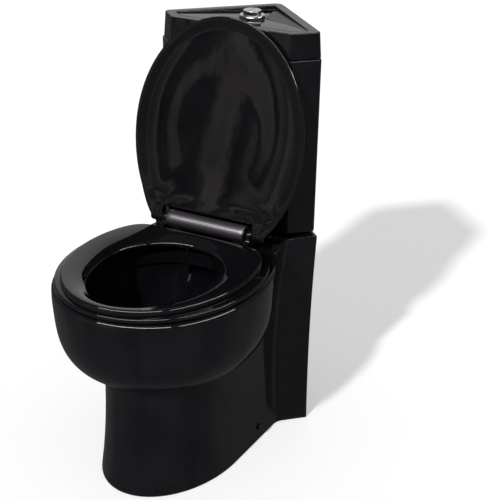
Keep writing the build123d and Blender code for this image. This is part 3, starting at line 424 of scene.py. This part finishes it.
# Where each point of the outline is drawn in to: the nearest point of a smaller egg whose foot is softly cut
# off, evened out along the outline.
def innerTarget(cover, outline):
    turn = np.linspace(0, 2 * math.pi, 1440, endpoint=False)
    band, cut, soft = cover["band"], cover["innerCut"], cover["innerSoft"]
    inner = eggOutline(turn, cover["half"] - band, cover["heel"] - band, cover["tip"] - band, cover["centre"])
    inner[:, 1] = cut + soft * np.logaddexp(0, (inner[:, 1] - cut) / soft)
    nearest = inner[((outline[:, None, :] - inner[None]) ** 2).sum(-1).argmin(1)]
    wrapped = np.concatenate([nearest[-4:], nearest, nearest[:4]])
    return np.stack([np.convolve(wrapped[:, k], np.ones(9) / 9.0, "valid") for k in (0, 1)], axis=-1)


# The cover's surface: round its outline, and in from the rim to the middle on both faces. The face towards
# the seat falls from a narrow lip down a slanted border to a shallow dish; the back is gently crowned.
def makeCover(cover):
    outline = coverOutline(cover)
    target = innerTarget(cover, outline)
    middle = np.array([0.0, cover["middle"]])
    nearRim = np.array([0.0, 0.02, 0.05, 0.09, 0.14, 0.2])  # close rows, where the rim turns
    share = np.concatenate([nearRim, np.linspace(0.28, 1.0, 16)])
    band = outline[None] * (1 - share[:, None, None]) + target[None] * share[:, None, None]
    inward = 1 - np.linspace(0, 1, 34)[1:] ** 1.15
    plan = np.concatenate([band, middle + (target[None] - middle) * inward[:, None, None]])
    away = edgeDistance(plan, outline)
    away[0] = 0.0
    steps = np.concatenate([share, 1.0 + (1 - inward)])[:, None]
    out = np.linalg.norm((plan - middle) / np.array([cover["half"], cover["tip"]]), axis=-1)
    bowl = np.clip(1 - out**2, 0, 1)
    across, up = np.abs(plan[..., 0]), plan[..., 1]
    # The border is a straight slope with softened ends, and shallower near the hinge.
    lip, width = cover["lip"], cover["band"]
    slope = smooth(away, lip, width * 1.04) * 0.35 + np.clip((away - lip) / (width - lip), 0, 1) * 0.65
    border = cover["dip"] * slope * (0.15 + 0.85 * smooth(up, cover["heelFrom"], cover["heelTo"]))
    front = -cover["frontRound"] * (1 - rounded(away, cover["frontRound"])) - border
    front = front - cover["dish"] * bowl * smooth(steps, 0.9, 1.5)
    back = -cover["thick"] + cover["backRound"] * (1 - rounded(away, cover["backRound"]))
    back = back - cover["crown"] * bowl * smooth(away, 2.0, 60.0)
    # Each ear swells forward and back round the hinge line, and fades into the shell above it.
    spread = smooth(up, 16.0, 46.0)
    beside = smooth(across, 90.0 - 60.0 * spread, 95.5 + 10.0 * spread)
    roundEnd = np.sqrt(np.clip(1 - (np.minimum(up, 0) / cover["ear"]) ** 2, 0, 1))
    front = front + beside * cover["earRise"] * roundEnd * (1 - smooth(up, 0.0, cover["earTop"]))
    low = beside * (1 - smooth(up, 0.0, cover["earBackTop"]))
    back = back * (1 - low) - cover["ear"] * roundEnd * low
    back = np.minimum(back, front - cover["least"])
    # The plane leans back about the hinge line: upward runs along it, and face stands out towards the seat.
    lean = math.radians(cover["lean"])
    upward = np.array([0.0, math.sin(lean), math.cos(lean)])
    face = np.array([0.0, -math.cos(lean), math.sin(lean)])
    sideways, origin = np.array([1.0, 0.0, 0.0]), np.array([0.0, hinge["y"], hinge["z"]])
    flat = origin + plan[..., :1] * sideways + plan[..., 1:] * upward
    seatSide, backSide = flat + front[..., None] * face, flat + back[..., None] * face
    return tubeObject("seatCoverShell", np.concatenate([seatSide[::-1], backSide]))


coverShell = wear(makeCover(cover), "black_duroplast", "seat_cover")
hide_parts("seat_cover")
print("seat cover made")


# A section of (place along X, radius) turned round the hinge line.
def turnedOnHinge(name, section, around=128):
    section = np.asarray(section, dtype=float)
    turn = np.linspace(0, 2 * math.pi, around, endpoint=False)
    x = np.repeat(section[:, :1], around, 1)
    y = hinge["y"] + section[:, 1:] * np.cos(turn)
    z = hinge["z"] + section[:, 1:] * np.sin(turn)
    return loopObject(name, np.stack([x, y, z], axis=-1))


radius, half = hinge["tubeRadius"], hinge["tubeHalf"]
tubeEnd = [(half, hinge["tubeBore"]), (half, radius - 0.7), (half - 0.2, radius - 0.25), (half - 0.7, radius)]
tubeSection = [(-x, r) for x, r in tubeEnd] + [(x, radius) for x in np.linspace(-70, 70, 15)] + tubeEnd[::-1]
barrel = turnedOnHinge("hingeBarrelTube", tubeSection)
wear(barrel, "brushed_steel", "base")
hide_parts("hinge_barrel")
print("hinge made")

# Small parts with eased edges: the edge in millimetres and the body each one moves with.
smallParts = {
    "barrel_end_caps": (0.4, "base"), "hinge_posts": (0.4, "base"), "button_collar": (0.35, "base"),
    "full_flush_button": (0.35, "full_flush_button"), "half_flush_button": (0.35, "half_flush_button"),
    "screw_caps": (0.5, "base"),
}
for nodeName, (edge, body) in smallParts.items():
    wear(easedCopy(nodeName, edge), slotOf[nodeName], body)
print("small parts made")

# The studio, in metres and degrees.
studio = {
    "floorHalf": 12.0, "floorTone": "#e4e4e4", "floorGlow": 0.36,
    "sunFrom": (0.0, -1.09, 0.78), "sunPower": 2.6, "sunSpread": 3.0,
    "room": 0.085, "streaks": 0.16,  # the walls' strength where dim, and where a streak is brightest
    "backdrop": 0.62, "backdropFrom": (-0.43, 0.84, 0.33),  # what the pale backdrop adds, and its direction
    "fill": 0.5,  # the even light that soft surfaces get instead
    "curtainAt": (-1.15, -2.3, 0.6), "curtainWide": 2.2, "curtainTall": 2.0, "foldWide": 0.045,
    "curtainGlow": 0.62, "curtainTints": ("#b98f86", "#dfe6d6"),
    # Long tubes give the thin bright lines on rims and edges: place, aim, length and width in metres, power.
    "tubes": {
        "frontTube": ((0.3, -1.7, 2.3), (0, 0, 0.4), (3.4, 0.24), 60.0),
        "rightTube": ((2.0, 0.2, 2.1), (0, 0, 0.4), (2.6, 0.24), 30.0),
    },
    "lens": 93.47, "shift": (0.1073, 0.0363), "cameraAt": (1.0951, -1.8818, 1.3591),
    "cameraTurn": (65.18, -0.213, 30.19),
}


# A flat sheet of four corners that only the studio has: it is no piece of the object.
def stageSheet(name, corners, material):
    mesh = bpy.data.meshes.new(name)
    mesh.from_pydata([tuple(corner) for corner in corners], [], [(0, 1, 2, 3)])
    mesh.materials.append(material)
    sheet = addObject(name, mesh)
    return sheet


paper = bpy.data.materials.new("palePaperFloor")  # seamless paper, evenly lit
paper.use_nodes = True
paperFinish = {
    "Base Color": linearColour(studio["floorTone"]), "Roughness": 0.95, "Specular IOR Level": 0.0,
    "Emission Color": (1, 1, 1, 1), "Emission Strength": studio["floorGlow"],
}
for socket, value in paperFinish.items():
    paper.node_tree.nodes["Principled BSDF"].inputs[socket].default_value = value
quarters = ((-1, -1), (1, -1), (1, 1), (-1, 1))  # a sheet's corners, in order round it
reach = studio["floorHalf"]
floorSheet = stageSheet("floorSheet", [(i * reach, j * reach, 0) for i, j in quarters], paper)
floorSheet.location.z = -0.0005  # half a millimetre under the foot
floorSheet.visible_glossy = False


# Turns a lamp so that it shines from one point towards another.
def aimed(lamp, at, target):
    at, target = np.asarray(at, float), np.asarray(target, float)
    away = at - target
    lamp.location = at
    lamp.rotation_euler = (
        math.atan2(math.hypot(away[0], away[1]), away[2]), 0.0, math.atan2(away[1], away[0]) + math.pi / 2
    )
    return lamp


sun = bpy.data.lights.new("frontSun", "SUN")
sun.energy = studio["sunPower"]
sun.angle = math.radians(studio["sunSpread"])
sunLamp = aimed(addObject("frontSun", sun), studio["sunFrom"], (0, 0, 0))
sunLamp.visible_glossy = False

for name, (at, target, size, power) in studio["tubes"].items():
    tube = bpy.data.lights.new(name, "AREA")
    tube.shape = "RECTANGLE"
    tube.size, tube.size_y = size
    tube.energy = power
    tubeLamp = aimed(addObject(name, tube), at, target)
    tubeLamp.visible_diffuse = False

# A curtain in front and to the left, seen only in reflections: upright folds of uneven light, pale to brown.
cloth = bpy.data.materials.new("creasedCurtain")
cloth.use_nodes = True
tree = cloth.node_tree
tree.nodes.clear()
coords = addNode(tree, "ShaderNodeTexCoord").outputs["Object"]
fold = 1.0 / studio["foldWide"]
folds = addNode(tree, "ShaderNodeMapping", [(coords, "Vector")], [("Scale", (fold, fold * 0.4, fold * 0.025))])
bands = addNode(
    tree, "ShaderNodeTexNoise", [(folds.outputs[0], "Vector")],
    [("Scale", 1.0), ("Detail", 2.0), ("Distortion", 0.35)],
)
glow = addNode(
    tree, "ShaderNodeMapRange", [(bands.outputs["Fac"], "Value")],
    [("From Min", 0.36), ("From Max", 0.64), ("To Min", 0.04), ("To Max", studio["curtainGlow"])],
)
tints = [(6 + i, linearColour(tone)) for i, tone in enumerate(studio["curtainTints"])]
tint = addNode(tree, "ShaderNodeMix", [(bands.outputs["Fac"], 0)], tints, data_type="RGBA")
shine = addNode(tree, "ShaderNodeEmission", [(tint.outputs[2], "Color"), (glow.outputs[0], "Strength")])
addNode(tree, "ShaderNodeOutputMaterial", [(shine.outputs[0], "Surface")])
middle = np.array(studio["curtainAt"])
sideways = np.array([middle[1], -middle[0], 0.0]) / math.hypot(middle[0], middle[1]) * studio["curtainWide"] / 2
upright = np.array([0.0, 0.0, studio["curtainTall"] / 2])
curtain = stageSheet("curtainScreen", [middle + i * sideways + j * upright for i, j in quarters], cloth)
curtain.visible_camera = curtain.visible_diffuse = curtain.visible_shadow = False

# The room as the glaze sees it: dim walls with upright streaks, and a pale backdrop behind and to the left.
# Soft surfaces get an even fill instead, and the view itself a plain white.
world = bpy.data.worlds.new("studioRoom")
bpy.context.scene.world = world
world.use_nodes = True
tree = world.node_tree
tree.nodes.clear()
direction = addNode(tree, "ShaderNodeTexCoord").outputs["Generated"]
parts = addNode(tree, "ShaderNodeSeparateXYZ", [(direction, 0)])
heading = addNode(
    tree, "ShaderNodeMath", [(parts.outputs["X"], 0), (parts.outputs["Y"], 1)], operation="ARCTAN2"
)
wallPoint = addNode(tree, "ShaderNodeCombineXYZ", [(heading.outputs[0], "X"), (parts.outputs["Z"], "Y")])
stretch = addNode(tree, "ShaderNodeMapping", [(wallPoint.outputs[0], "Vector")], [("Scale", (1.6, 0.8, 1.0))])
noise = addNode(tree, "ShaderNodeTexNoise", [(stretch.outputs[0], "Vector")], [("Scale", 1.0), ("Detail", 3.0)])
streaks = addNode(
    tree, "ShaderNodeMapRange", [(noise.outputs["Fac"], "Value")],
    [("From Min", 0.3), ("From Max", 0.8), ("To Min", studio["room"]), ("To Max", studio["streaks"])],
)
facing = addNode(
    tree, "ShaderNodeVectorMath", [(direction, 0)], [(1, studio["backdropFrom"])], operation="DOT_PRODUCT"
)
backdrop = addNode(
    tree, "ShaderNodeMapRange", [(facing.outputs["Value"], "Value")],
    [("From Min", 0.78), ("From Max", 0.97), ("To Min", 0.0), ("To Max", studio["backdrop"])],
    interpolation_type="SMOOTHSTEP",
)
room = addNode(tree, "ShaderNodeMath", [(streaks.outputs[0], 0), (backdrop.outputs[0], 1)], operation="ADD")
paths = addNode(tree, "ShaderNodeLightPath")
soft = addNode(
    tree, "ShaderNodeMix", [(paths.outputs["Is Diffuse Ray"], 0), (room.outputs[0], 2)], [(3, studio["fill"])],
    data_type="FLOAT",
)
shown = addNode(
    tree, "ShaderNodeMix", [(paths.outputs["Is Camera Ray"], 0), (soft.outputs[0], 2)], [(3, 1.0)],
    data_type="FLOAT",
)
background = addNode(tree, "ShaderNodeBackground", [(shown.outputs[0], "Strength")])
addNode(tree, "ShaderNodeOutputWorld", [(background.outputs[0], "Surface")])
bpy.context.scene.view_settings.view_transform = "Standard"

camera = bpy.data.cameras.new("viewCamera")
camera.lens = studio["lens"]
camera.sensor_width = 36.0
camera.shift_x, camera.shift_y = studio["shift"]
cameraObject = addObject("viewCamera", camera)
cameraObject.location = studio["cameraAt"]
cameraObject.rotation_euler = [math.radians(turned) for turned in studio["cameraTurn"]]
bpy.context.scene.camera = cameraObject
print("studio made")
